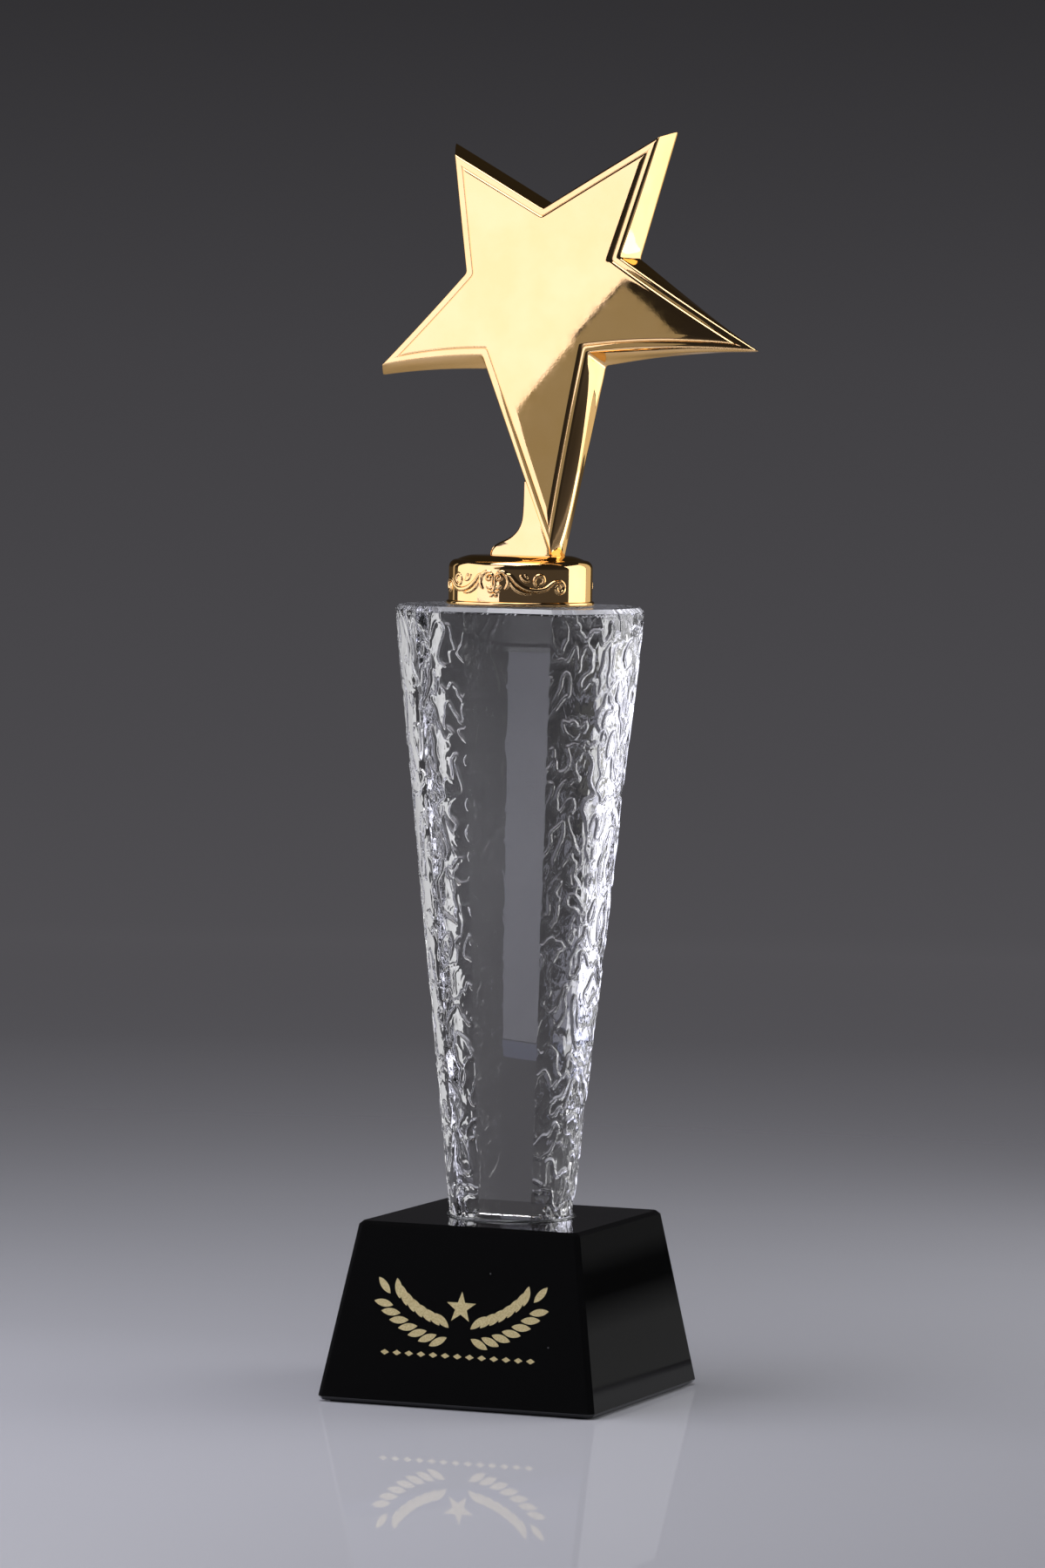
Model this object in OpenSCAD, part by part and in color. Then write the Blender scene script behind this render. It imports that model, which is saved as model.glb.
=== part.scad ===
// Crystal award: a black block carries a clear tapered column, a gold-plated collar and a star.
// Millimetres, +Z up, origin at the middle of the underside; -Y is the front.

/* [Base] */
// Width of the base block across its underside
base_bottom_w = 80; // [74:1:90]
// Width of the base block across its top
base_top_w = 63.4; // [60:0.2:68]
// Height of the base block
base_h = 48; // [44:1:56]
// Width of the polished bevels along the edges of the base block
base_bevel = 1.4; // [0.6:0.1:2]
// Thickness of the pad under the base block
pad_t = 0.5; // [0.4:0.1:1.5]
// Distance from the edge of the base block to the pad
pad_inset = 2; // [1:0.5:8]

/* [Emblem] */
// Height of the wreath's middle, measured up the front face
wreath_height = 27; // [25:0.5:28]
// Number of leaf pairs on each sprig
leaf_pairs = 7; // [5:1:8]
// Number of lozenges in the row under the wreath
lozenges = 13; // [7:2:15]
// Depth of the sandblasted pocket that holds the gold fill
emblem_depth = 0.5; // [0.3:0.1:1]

/* [Crystal column] */
// Height of the crystal column
column_h = 165.1; // [150:1:180]
// Radius of the column at its foot
column_foot_r = 17; // [16:0.5:20]
// Radius of the column at its top
column_top_r = 34.2; // [32:0.2:36]
// Distance from the axis to the front and back flats at the foot
flat_foot_d = 12.6; // [11:0.2:14]
// Distance from the axis to the front and back flats at the top
flat_top_d = 27.3; // [25:0.2:29]
// Width of the polished bevel round the column's top
column_bevel = 1.2; // [0.5:0.1:2]

/* [Collar] */
// Radius of the collar
collar_r = 20; // [19:0.5:22]
// Height of the collar
collar_h = 13.4; // [12:0.2:16]
// Radius of the flat land that the star stands on
land_r = 13; // [12.5:0.5:14]

/* [Star] */
// Angle by which the star leans back
star_lean = 8; // [0:1:12]
// Thickness of the star casting behind its border
star_t = 11.4; // [8:0.2:12]
// How far the flanks spread outwards from the front to the back
flank_spread = 2.2; // [0.5:0.1:2.6]
// Width of the flat border round the raised panel
border_w = 1.8; // [0.8:0.1:2]
// Height of the raised panel above the border
panel_h = 0.7; // [0.3:0.1:1]

/* [Hidden] */
$fn = 96;

// Stack of heights, from the floor up
foot_bond_t = 0.3;
collar_bond_t = 0.2;
block_top = pad_t + base_h;
column_z = block_top + foot_bond_t;
column_top = column_z + column_h;
collar_z = column_top + collar_bond_t;
collar_top = collar_z + collar_h;

// Pad and adhesive films
pad_corner_r = 4;
foot_bond_r = column_foot_r + 0.6;
film_outer_r = collar_r - 1;

// Emblem: the front face leans back by the taper of the base block
face_lean = atan((base_bottom_w - base_top_w) / 2 / base_h);
wreath_r = 27;
wreath_start = 7;
wreath_end = 50;
wreath_drop = 7;
leaf_l = 5.6;
leaf_w = 2;
leaf_splay = 34;
leaf_shift = 1.3;
emblem_star_r = 4.4;
emblem_star_inner = 0.4;
lozenge_pitch = 3.5;
lozenge_l = 2.5;
lozenge_w = 1.5;
lozenge_height = 14;

// Collar section: bottom bead, side wall, shoulder fillet and crown
bead_h = 1.1;
bead_step = 0.4;
wall_r = collar_r - bead_step;
shoulder_r = 2.2;
crown_drop = 1.2;
shoulder_h = collar_h - crown_drop - shoulder_r;
hollow_r = 15;
hollow_h = 8;

// Star outline in its own plane, measured from the middle of the collar's top.
// It runs anticlockwise and alternates a waist point and a tip.
star_outline = [
    [1.4, 94.5], [-25.5, 109.3],
    [-19.5, 76.8], [-42.8, 51.3],
    [-13.3, 54.3], [9.8, 0.9],
    [17.4, 55.4], [65.6, 56.6],
    [24.6, 81.4], [33.5, 114.4]
];
star_front_y = -5;
back_edge = 1.6;
// How far each tip of the outline moves outwards between the front border and the back;
// the tip on the right is cut back
tip_moves = [5.6, 3.9, 3, -3.2, 3.6];

// Foot of the star casting, set back behind the leg
foot_front_w = 2.2;
foot_back_w = 9.4;
foot_left = -11;
foot_right = 10.2;
foot_toe_r = 1.4;
foot_slab_h = 2.8;
neck_left = -0.8;
neck_right = 9.2;
neck_h = 20;
flare_r = 5;

// Fixing: a screw from the collar's hollow and a cast peg that stops the star turning
screw_x = 4.3;
screw_y = 0.8;
screw_r = 2;
screw_l = 13;
screw_head_r = 3.8;
screw_head_h = 2.6;
screw_point = 0.5;
socket_r = 1.5;
socket_depth = 1.5;
thread_clearance = 0.05;
hole_clearance = 0.3;
tapped_depth = 9;
washer_r = 5;
washer_t = 0.8;
peg_x = -7;
peg_r = 1.2;
peg_l = 1.8;
peg_clearance = 0.1;
overlap = 0.01;

// Trapezium section of a solid of height h that is bevelled along its top and bottom edges
function tapered_section(bottom, top, h, bevel) =
    let (slope = (top - bottom) / h)
    [
        [-bottom + bevel, 0], [bottom - bevel, 0],
        [bottom + slope * bevel, bevel],
        [top - slope * bevel, h - bevel],
        [top - bevel, h], [-top + bevel, h],
        [-top + slope * bevel, h - bevel],
        [-bottom - slope * bevel, bevel]
    ];

// A wall made by pushing a section through along X
module section_along_x(section, length) {
    rotate([90, 0, 90])
        linear_extrude(length, center = true)
            polygon(section);
}

module base_pad() {
    full = base_bottom_w - 2 * pad_inset;
    straight = full - 2 * pad_corner_r;
    color("dimgray")
        linear_extrude(pad_t) {
            square([full, straight], center = true);
            square([straight, full], center = true);
            for (sx = [-1, 1], sy = [-1, 1])
                translate([sx * straight / 2, sy * straight / 2])
                    circle(pad_corner_r);
        }
}

// The block is four crossed walls: two for its faces and two that bevel its corners
module base_blank() {
    half_bottom = base_bottom_w / 2;
    half_top = base_top_w / 2;
    faces = tapered_section(half_bottom, half_top, base_h, base_bevel * 0.7);
    corner_cut = base_bevel / sqrt(2);
    corners = tapered_section(half_bottom * sqrt(2) - corner_cut,
                              half_top * sqrt(2) - corner_cut, base_h, base_bevel * 0.7);
    translate([0, 0, pad_t])
        intersection() {
            section_along_x(faces, 2 * base_bottom_w);
            rotate(90) section_along_x(faces, 2 * base_bottom_w);
            rotate(45) section_along_x(corners, 2 * base_bottom_w);
            rotate(-45) section_along_x(corners, 2 * base_bottom_w);
        }
}

// Places a drawing on the front face: X to the right, Y up the face, Z outwards
module on_front_face() {
    translate([0, -base_bottom_w / 2, pad_t])
        rotate([90 - face_lean, 0, 0])
            children();
}

// Pointed leaf: the overlap of two circles
module leaf() {
    arc_r = (leaf_l * leaf_l + leaf_w * leaf_w) / (4 * leaf_w);
    intersection() {
        translate([0, arc_r - leaf_w / 2]) circle(arc_r);
        translate([0, leaf_w / 2 - arc_r]) circle(arc_r);
    }
}

// Half of a laurel wreath: leaf pairs along an arc that sweeps outwards and up, and a leaf at its tip
module sprig() {
    pitch = (wreath_end - wreath_start) / leaf_pairs;
    translate([0, wreath_r - wreath_drop]) {
        for (i = [0 : leaf_pairs - 1], side = [-1, 1])
            rotate(wreath_start + pitch * i)
                translate([0, -wreath_r + side * leaf_shift])
                    rotate(side * leaf_splay)
                        translate([leaf_l / 2, 0])
                            leaf();
        rotate(wreath_end)
            translate([leaf_l / 2, -wreath_r])
                leaf();
    }
}

module emblem_drawing() {
    translate([0, wreath_height]) {
        sprig();
        mirror([1, 0]) sprig();
        polygon([for (i = [0 : 9])
            let (r = emblem_star_r * (i % 2 == 0 ? 1 : emblem_star_inner))
            [r * sin(36 * i), r * cos(36 * i)]]);
    }
    for (i = [0 : lozenges - 1])
        translate([(i - (lozenges - 1) / 2) * lozenge_pitch, lozenge_height])
            polygon([[-lozenge_l / 2, 0], [0, -lozenge_w / 2], [lozenge_l / 2, 0], [0, lozenge_w / 2]]);
}

module base_block() {
    color([0.06, 0.06, 0.07])
        difference() {
            base_blank();
            on_front_face()
                translate([0, 0, -emblem_depth])
                    linear_extrude(2 * emblem_depth)
                        emblem_drawing();
        }
}

module emblem_fill() {
    color([0.78, 0.69, 0.45])
        on_front_face()
            translate([0, 0, -emblem_depth])
                linear_extrude(emblem_depth)
                    emblem_drawing();
}

module foot_bond() {
    color([0.9, 0.92, 0.92])
        translate([0, 0, block_top])
            cylinder(r = foot_bond_r, h = foot_bond_t);
}

// The column is a cone with a flat at the front and one at the back
module crystal_column() {
    flank = tapered_section(column_foot_r, column_top_r, column_h, column_bevel);
    flats = tapered_section(flat_foot_d, flat_top_d, column_h, column_bevel);
    color([0.85, 0.9, 0.93, 0.5])
        translate([0, 0, column_z])
            intersection() {
                rotate_extrude() {
                    intersection() {
                        polygon(flank);
                        square([2 * column_top_r, column_h]);
                    }
                }
                section_along_x(flats, 3 * column_top_r);
            }
}

module collar_bond() {
    color([0.9, 0.92, 0.92])
        translate([0, 0, column_top])
            difference() {
                cylinder(r = film_outer_r, h = collar_bond_t);
                translate([0, 0, -overlap])
                    cylinder(r = hollow_r + 0.5, h = collar_bond_t + 2 * overlap);
            }
}

function collar_section() = concat(
    [[0, 0], [collar_r - bead_step, 0], [collar_r, bead_step],
     [collar_r, bead_h - bead_step / 2], [wall_r, bead_h + bead_step / 2]],
    [for (a = [0 : 10 : 90])
        [wall_r - shoulder_r + shoulder_r * cos(a), shoulder_h + shoulder_r * sin(a)]],
    [[land_r, collar_h], [0, collar_h]]
);

module collar() {
    color([0.85, 0.62, 0.2])
        difference() {
            translate([0, 0, collar_z])
                rotate_extrude()
                    polygon(collar_section());
            translate([0, 0, collar_z - overlap])
                cylinder(r = hollow_r, h = hollow_h + overlap);
            translate([screw_x, screw_y, collar_z])
                cylinder(r = screw_r + hole_clearance, h = collar_h + overlap);
            translate([peg_x, screw_y, collar_top - peg_l - peg_clearance])
                cylinder(r = peg_r + peg_clearance, h = peg_l + peg_clearance + overlap);
        }
}

// Outward unit normal of the edge from a to b of an anticlockwise outline
function edge_normal(a, b) = [b.y - a.y, a.x - b.x] / norm(b - a);

// The outline with its edges moved outwards by d
function moved_outline(points, d) =
    let (count = len(points))
    [for (i = [0 : count - 1])
        let (before = edge_normal(points[(i + count - 1) % count], points[i]),
             after = edge_normal(points[i], points[(i + 1) % count]))
        points[i] + d * (before + after) / (1 + before * after)];

// The star's outline moved outwards by d, with the tips moved by their own amounts
function flank_outline(d) =
    let (moved = moved_outline(star_outline, d))
    [for (i = [0 : len(moved) - 1])
        let (step = moved[i] - star_outline[i],
             is_tip = i % 2 == 1 && d > 0)
        is_tip ? star_outline[i] + step / norm(step) * tip_moves[(i - 1) / 2] * d / flank_spread
               : moved[i]];

// Rings of the star's flanks from its back edge to its front border: [height, outward growth]
star_rings = [
    [-star_t, flank_spread - back_edge / 2],
    [-star_t + back_edge, flank_spread],
    [0, 0]
];

// Body of the star: flanks that spread towards the back, then a bevel to the back face
module star_body() {
    count = len(star_outline);
    last = len(star_rings) - 1;
    points = [for (ring = star_rings)
        for (p = flank_outline(ring[1]))
            [p.x, p.y, ring[0]]];
    sides = [for (r = [0 : last - 1], i = [0 : count - 1], half = [0, 1])
        let (low = r * count, high = low + count, j = (i + 1) % count)
        half == 0 ? [low + i, high + i, high + j] : [low + i, high + j, low + j]];
    // Each end is a pentagon between the waists and a triangle in each arm
    waists = [for (i = [0 : 2 : count - 1]) i];
    end = concat([waists], [for (tip = [1 : 2 : count - 1]) [tip - 1, tip, (tip + 1) % count]]);
    front = [for (face = end) [for (k = [len(face) - 1 : -1 : 0]) last * count + face[k]]];
    polyhedron(points, concat(end, front, sides));
}

// Panel that stands proud inside the border
module star_panel() {
    translate([0, 0, -panel_h])
        linear_extrude(2 * panel_h)
            polygon(moved_outline(star_outline, -border_w));
}

// Places a drawing in the star's own leaning plane: X to the right, Y up, Z to the front
module in_star_plane() {
    translate([0, star_front_y, collar_top])
        rotate([90 - star_lean, 0, 0])
            children();
}

// Foot of the casting: a slab with round toes and a neck that flares out to the left
module foot_drawing() {
    translate([foot_left + foot_toe_r, foot_slab_h - foot_toe_r]) circle(foot_toe_r);
    translate([foot_right - foot_toe_r, foot_slab_h - foot_toe_r]) circle(foot_toe_r);
    translate([foot_left + foot_toe_r, -foot_slab_h])
        square([foot_right - foot_left - 2 * foot_toe_r, 2 * foot_slab_h]);
    translate([foot_left, -foot_slab_h])
        square([foot_right - foot_left, 2 * foot_slab_h - foot_toe_r]);
    translate([neck_left, 0])
        square([neck_right - neck_left, neck_h]);
    difference() {
        translate([neck_left - flare_r, foot_slab_h - overlap])
            square([flare_r + overlap, flare_r]);
        translate([neck_left - flare_r, foot_slab_h + flare_r])
            circle(flare_r);
    }
}

module star() {
    color([0.88, 0.66, 0.25]) {
        difference() {
            union() {
                in_star_plane() {
                    star_body();
                    star_panel();
                    translate([0, 0, -foot_back_w])
                        linear_extrude(foot_back_w - foot_front_w)
                            foot_drawing();
                }
                translate([peg_x, screw_y, collar_top - peg_l])
                    cylinder(r = peg_r, h = peg_l + foot_slab_h / 2);
            }
            // Flat underside, cut round the peg
            difference() {
                translate([-2 * collar_r, -2 * collar_r, collar_top - 2 * foot_slab_h])
                    cube([4 * collar_r, 4 * collar_r, 2 * foot_slab_h]);
                translate([peg_x, screw_y, collar_top - peg_l])
                    cylinder(r = peg_r, h = 2 * peg_l);
            }
            translate([screw_x, screw_y, collar_top - overlap])
                cylinder(r = screw_r + thread_clearance, h = tapped_depth + overlap);
        }
    }
}

module fixing_washer() {
    color("silver")
        translate([screw_x, screw_y, collar_z + hollow_h - washer_t])
            difference() {
                cylinder(r = washer_r, h = washer_t);
                translate([0, 0, -overlap])
                    cylinder(r = screw_r + hole_clearance / 2, h = washer_t + 2 * overlap);
            }
}

module fixing_screw() {
    head_z = collar_z + hollow_h - washer_t - screw_head_h;
    color("silver")
        translate([screw_x, screw_y, head_z])
            difference() {
                union() {
                    cylinder(r = screw_head_r, h = screw_head_h);
                    cylinder(r = screw_r, h = screw_head_h + screw_l - screw_point);
                    translate([0, 0, screw_head_h + screw_l - screw_point])
                        cylinder(r1 = screw_r, r2 = screw_r - screw_point, h = screw_point);
                }
                translate([0, 0, -overlap])
                    cylinder(r = socket_r, h = socket_depth + overlap, $fn = 6);
            }
}

base_pad();
base_block();
emblem_fill();
foot_bond();
crystal_column();
collar_bond();
collar();
star();
fixing_washer();
fixing_screw();
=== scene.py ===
import math

import bpy
import numpy as np
from mathutils import Matrix, Vector


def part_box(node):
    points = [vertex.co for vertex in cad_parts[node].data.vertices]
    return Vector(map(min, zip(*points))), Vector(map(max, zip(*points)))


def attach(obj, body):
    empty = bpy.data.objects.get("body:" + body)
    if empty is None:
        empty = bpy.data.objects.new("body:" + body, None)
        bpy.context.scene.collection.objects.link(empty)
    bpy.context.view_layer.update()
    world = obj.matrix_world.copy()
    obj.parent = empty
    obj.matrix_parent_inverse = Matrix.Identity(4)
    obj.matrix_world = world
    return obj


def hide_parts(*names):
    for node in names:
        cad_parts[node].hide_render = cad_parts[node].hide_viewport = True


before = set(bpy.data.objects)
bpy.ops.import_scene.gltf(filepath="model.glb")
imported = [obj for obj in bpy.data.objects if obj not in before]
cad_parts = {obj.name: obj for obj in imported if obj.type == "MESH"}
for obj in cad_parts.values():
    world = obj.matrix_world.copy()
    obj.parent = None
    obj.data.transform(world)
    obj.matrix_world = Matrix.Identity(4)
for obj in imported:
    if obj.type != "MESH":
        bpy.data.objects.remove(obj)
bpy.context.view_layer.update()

# Shapes are worked out in millimetres in the CAD frame and stored in metres.
MM = 0.001
ROOT = "root"


# ---------------------------------------------------------------- frame sizes

def box_mm(node):
    """Lowest and highest corner of a CAD node, in millimetres."""
    low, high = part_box(node)
    return np.array(low) / MM, np.array(high) / MM


BLOCK_TOP = box_mm("base_block")[1][2]
COLUMN_LOW, COLUMN_HIGH = box_mm("crystal_column")
COLLAR_LOW, COLLAR_HIGH = box_mm("collar")
COLUMN_H = COLUMN_HIGH[2] - COLUMN_LOW[2]
COLLAR_R = (COLLAR_HIGH[0] - COLLAR_LOW[0]) / 2
COLLAR_H = COLLAR_HIGH[2] - COLLAR_LOW[2]
COLLAR_TOP = COLLAR_HIGH[2]


# ---------------------------------------------------------------- mesh helpers

def make_object(name, points, faces, materials, material_index=None, smooth=True):
    """A mesh object from points in millimetres. smooth is one value or one per face."""
    mesh = bpy.data.meshes.new(name)
    mesh.from_pydata((np.asarray(points) * MM).tolist(), [], [list(f) for f in faces])
    for material in materials:
        mesh.materials.append(material)
    count = len(mesh.polygons)
    if material_index is not None:
        mesh.polygons.foreach_set("material_index", np.asarray(material_index, dtype=np.int32))
    flags = np.full(count, smooth) if np.isscalar(smooth) else np.asarray(smooth, dtype=bool)
    mesh.polygons.foreach_set("use_smooth", flags)
    mesh.update()
    piece = bpy.data.objects.new(name, mesh)
    bpy.context.scene.collection.objects.link(piece)
    return piece


def ring_faces(rows, columns):
    """Quads between closed rings of equal length, with their normals outwards when rings go up."""
    r, c = np.meshgrid(np.arange(rows - 1), np.arange(columns), indexing="ij")
    after = (c + 1) % columns
    low = r * columns
    high = low + columns
    return np.stack([low + c, low + after, high + after, high + c], -1).reshape(-1, 4)


def fan_faces(ring, centre, upwards):
    """Triangles from a ring of point numbers to a centre point."""
    ring = np.asarray(ring)
    after = np.roll(ring, -1)
    middle = np.full(len(ring), centre)
    order = [ring, after, middle] if upwards else [after, ring, middle]
    return np.stack(order, -1)


def mark_sharp(mesh, level):
    """Marks the edges sharp whose two ends have the same level above zero."""
    ends = np.empty(len(mesh.edges) * 2, dtype=np.int32)
    mesh.edges.foreach_get("vertices", ends)
    ends = ends.reshape(-1, 2)
    first, second = level[ends[:, 0]], level[ends[:, 1]]
    mesh.edges.foreach_set("use_edge_sharp", (first > 0) & (first == second))


def sharpen_by_angle(piece, degrees):
    """Keeps edges crisp where two faces meet at more than this angle."""
    piece.data.set_sharp_from_angle(angle=math.radians(degrees))


def lathe(name, section, segments, materials):
    """A closed turned solid. section runs from the axis at the bottom to the axis at the top."""
    section = np.asarray(section, dtype=float)
    inner = section[1:-1]
    turn = np.arange(segments) * 2 * math.pi / segments
    rings = np.stack([
        np.outer(inner[:, 0], np.cos(turn)),
        np.outer(inner[:, 0], np.sin(turn)),
        np.repeat(inner[:, 1:], segments, 1),
    ], -1).reshape(-1, 3)
    points = np.vstack([rings, [0, 0, section[0, 1]], [0, 0, section[-1, 1]]])
    rows = len(inner)
    first = np.arange(segments)
    faces = [list(f) for f in ring_faces(rows, segments)]
    faces += [list(f) for f in fan_faces(first, len(rings), False)]
    faces += [list(f) for f in fan_faces(first + (rows - 1) * segments, len(rings) + 1, True)]
    return make_object(name, points, faces, materials)


def smoothstep(value, low, high):
    """Rises smoothly from 0 at the low value to 1 at the high one."""
    t = np.clip((value - low) / (high - low), 0, 1)
    return t * t * (3 - 2 * t)


# ---------------------------------------------------------------- gradient noise

# Large odd numbers that scatter the lattice's whole numbers over 32 bits
HASH_X, HASH_Y, HASH_SEED, HASH_MIX = 374761393, 668265263, 974634777, 1274126177
HASH_MASK = 0xFFFFFFFF


def lattice_angle(ix, iy, seed):
    """A repeatable random angle for each lattice point."""
    n = (ix.astype(np.int64) * HASH_X + iy.astype(np.int64) * HASH_Y + seed * HASH_SEED) & HASH_MASK
    n = ((n ^ (n >> 13)) * HASH_MIX) & HASH_MASK
    return ((n ^ (n >> 16)) & 0xFFFF) * (2 * math.pi / 65536)


def noise(x, y, seed):
    """Smooth gradient noise from about -0.7 to 0.7 with features about one unit across."""
    x0, y0 = np.floor(x), np.floor(y)
    fx, fy = x - x0, y - y0
    sx = fx ** 3 * (fx * (fx * 6 - 15) + 10)
    sy = fy ** 3 * (fy * (fy * 6 - 15) + 10)

    def corner(dx, dy):
        angle = lattice_angle(x0 + dx, y0 + dy, seed)
        return np.cos(angle) * (fx - dx) + np.sin(angle) * (fy - dy)

    low = corner(0, 0) * (1 - sx) + corner(1, 0) * sx
    high = corner(0, 1) * (1 - sx) + corner(1, 1) * sx
    return low * (1 - sy) + high * sy


# ---------------------------------------------------------------- materials

def new_material(name):
    """A new material with its nodes, its links and its main shader."""
    material = bpy.data.materials.new(name)
    material.use_nodes = True
    nodes = material.node_tree.nodes
    return material, nodes, material.node_tree.links, nodes["Principled BSDF"]


def add_noise(nodes, links, scale, detail):
    """A noise texture on object coordinates; scale is in features per metre."""
    place = nodes.new("ShaderNodeTexCoord")
    texture = nodes.new("ShaderNodeTexNoise")
    texture.inputs["Scale"].default_value = scale
    texture.inputs["Detail"].default_value = detail
    links.new(place.outputs["Object"], texture.inputs["Vector"])
    return texture.outputs["Fac"]


def add_range(nodes, links, value, from_low, from_high, to_low, to_high):
    """Maps a value from one range to another, clamped to it."""
    remap = nodes.new("ShaderNodeMapRange")
    remap.inputs["From Min"].default_value = from_low
    remap.inputs["From Max"].default_value = from_high
    remap.inputs["To Min"].default_value = to_low
    remap.inputs["To Max"].default_value = to_high
    links.new(value, remap.inputs["Value"])
    return remap.outputs["Result"]


def add_colours(nodes, links, value, low_colour, high_colour, low=0.35, high=0.65):
    """A mix of two colours: the first up to the low value, the second from the high one."""
    ramp = nodes.new("ShaderNodeValToRGB")
    ramp.color_ramp.elements[0].position = low
    ramp.color_ramp.elements[0].color = (*low_colour, 1)
    ramp.color_ramp.elements[1].position = high
    ramp.color_ramp.elements[1].color = (*high_colour, 1)
    links.new(value, ramp.inputs["Fac"])
    return ramp.outputs["Color"]


def link_base(nodes, links, shader, value, low_colour, high_colour, low=0.35, high=0.65):
    """Links the shader's base colour to a mix of two colours by a value."""
    colours = add_colours(nodes, links, value, low_colour, high_colour, low, high)
    links.new(colours, shader.inputs["Base Color"])


def add_bump(nodes, links, shader, value, distance_mm, strength=1.0, below=None):
    """Adds a bump to the shader, on top of an earlier one if that is given as below."""
    bump = nodes.new("ShaderNodeBump")
    bump.inputs["Distance"].default_value = distance_mm * MM
    bump.inputs["Strength"].default_value = strength
    links.new(value, bump.inputs["Height"])
    if below is not None:
        links.new(below.outputs["Normal"], bump.inputs["Normal"])
    links.new(bump.outputs["Normal"], shader.inputs["Normal"])
    return bump


def gold_material(name, waviness_mm, grain_mm):
    """Polished gold plate with faint polishing waves and a fine grain."""
    material, nodes, links, shader = new_material(name)
    shader.inputs["Metallic"].default_value = 1
    # Keeps the gold golden at grazing angles
    shader.inputs["Specular Tint"].default_value = (1.0, 0.82, 0.50, 1)
    mottle = add_noise(nodes, links, 90, 3)
    link_base(nodes, links, shader, mottle, (0.94, 0.60, 0.265), (0.97, 0.63, 0.30))
    wear = add_noise(nodes, links, 420, 4)
    links.new(add_range(nodes, links, wear, 0.3, 0.7, 0.015, 0.045), shader.inputs["Roughness"])
    waves = add_bump(nodes, links, shader, add_noise(nodes, links, 40, 0), waviness_mm)
    add_bump(nodes, links, shader, add_noise(nodes, links, 1600, 2), grain_mm, below=waves)
    return material


def crystal_material(name, frosting, grain_mm):
    """Clear lead crystal. frosting is its roughness and grain_mm its fine surface bump."""
    material, nodes, links, shader = new_material(name)
    shader.inputs["Base Color"].default_value = (0.987, 0.987, 0.975, 1)
    shader.inputs["Transmission Weight"].default_value = 1
    shader.inputs["IOR"].default_value = 1.52
    patches = add_noise(nodes, links, 260, 3)
    links.new(add_range(nodes, links, patches, 0.42, 0.66, 0.0, frosting), shader.inputs["Roughness"])
    if grain_mm:
        add_bump(nodes, links, shader, add_noise(nodes, links, 900, 3), grain_mm)
    return material


def black_crystal_material():
    """Opaque black crystal with a polished face and a few specks of dust."""
    material, nodes, links, shader = new_material("black_crystal_look")
    place = nodes.new("ShaderNodeTexCoord")
    specks = nodes.new("ShaderNodeTexVoronoi")
    specks.inputs["Scale"].default_value = 190
    links.new(place.outputs["Object"], specks.inputs["Vector"])
    dust = add_range(nodes, links, specks.outputs["Distance"], 0.035, 0.06, 1, 0)
    sparse = add_range(nodes, links, add_noise(nodes, links, 120, 2), 0.56, 0.6, 0, 1)
    both = nodes.new("ShaderNodeMath")
    both.operation = "MULTIPLY"
    links.new(dust, both.inputs[0])
    links.new(sparse, both.inputs[1])
    black, dusty = (0.0042, 0.0042, 0.0042), (0.11, 0.11, 0.11)
    link_base(nodes, links, shader, both.outputs[0], black, dusty, 0.2, 0.9)
    haze = add_noise(nodes, links, 35, 3)
    links.new(add_range(nodes, links, haze, 0.3, 0.7, 0.01, 0.035), shader.inputs["Roughness"])
    shader.inputs["IOR"].default_value = 1.52
    return material


def gold_fill_material():
    """Matt gold paint on a sandblasted floor."""
    material, nodes, links, shader = new_material("gold_fill_look")
    shader.inputs["Metallic"].default_value = 0.25
    grain = add_noise(nodes, links, 2600, 3)
    link_base(nodes, links, shader, grain, (0.62, 0.50, 0.23), (0.82, 0.70, 0.38))
    shader.inputs["Roughness"].default_value = 0.55
    add_bump(nodes, links, shader, grain, 0.05, 0.8)
    return material


def steel_material():
    """Zinc-plated steel with a dull, uneven shine."""
    material, nodes, links, shader = new_material("zinc_steel_look")
    shader.inputs["Metallic"].default_value = 1
    grain = add_noise(nodes, links, 900, 3)
    link_base(nodes, links, shader, grain, (0.50, 0.50, 0.51), (0.62, 0.62, 0.60))
    links.new(add_range(nodes, links, grain, 0.3, 0.7, 0.22, 0.4), shader.inputs["Roughness"])
    return material


def pad_material():
    """Black foam sheet with small closed cells."""
    material, nodes, links, shader = new_material("foam_pad_look")
    cells = add_noise(nodes, links, 1500, 4)
    link_base(nodes, links, shader, cells, (0.008, 0.008, 0.008), (0.03, 0.03, 0.03))
    shader.inputs["Roughness"].default_value = 0.9
    add_bump(nodes, links, shader, cells, 0.1)
    return material


def adhesive_material():
    """Cured clear adhesive with a slightly milky, uneven film."""
    material, nodes, links, shader = new_material("adhesive_look")
    film = add_noise(nodes, links, 500, 2)
    link_base(nodes, links, shader, film, (0.80, 0.82, 0.83), (0.92, 0.93, 0.93))
    shader.inputs["Transmission Weight"].default_value = 0.96
    shader.inputs["IOR"].default_value = 1.5
    links.new(add_range(nodes, links, film, 0.3, 0.7, 0.05, 0.2), shader.inputs["Roughness"])
    return material


STAR_GOLD = gold_material("star_gold", 0.022, 0.0010)
COLLAR_GOLD = gold_material("collar_gold", 0.02, 0.0016)
POLISHED_CRYSTAL = crystal_material("polished_crystal", 0.003, 0.0)
CHISELLED_CRYSTAL = crystal_material("chiselled_crystal", 0.03, 0.012)
ADHESIVE = adhesive_material()


# ---------------------------------------------------------------- crystal column

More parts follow.
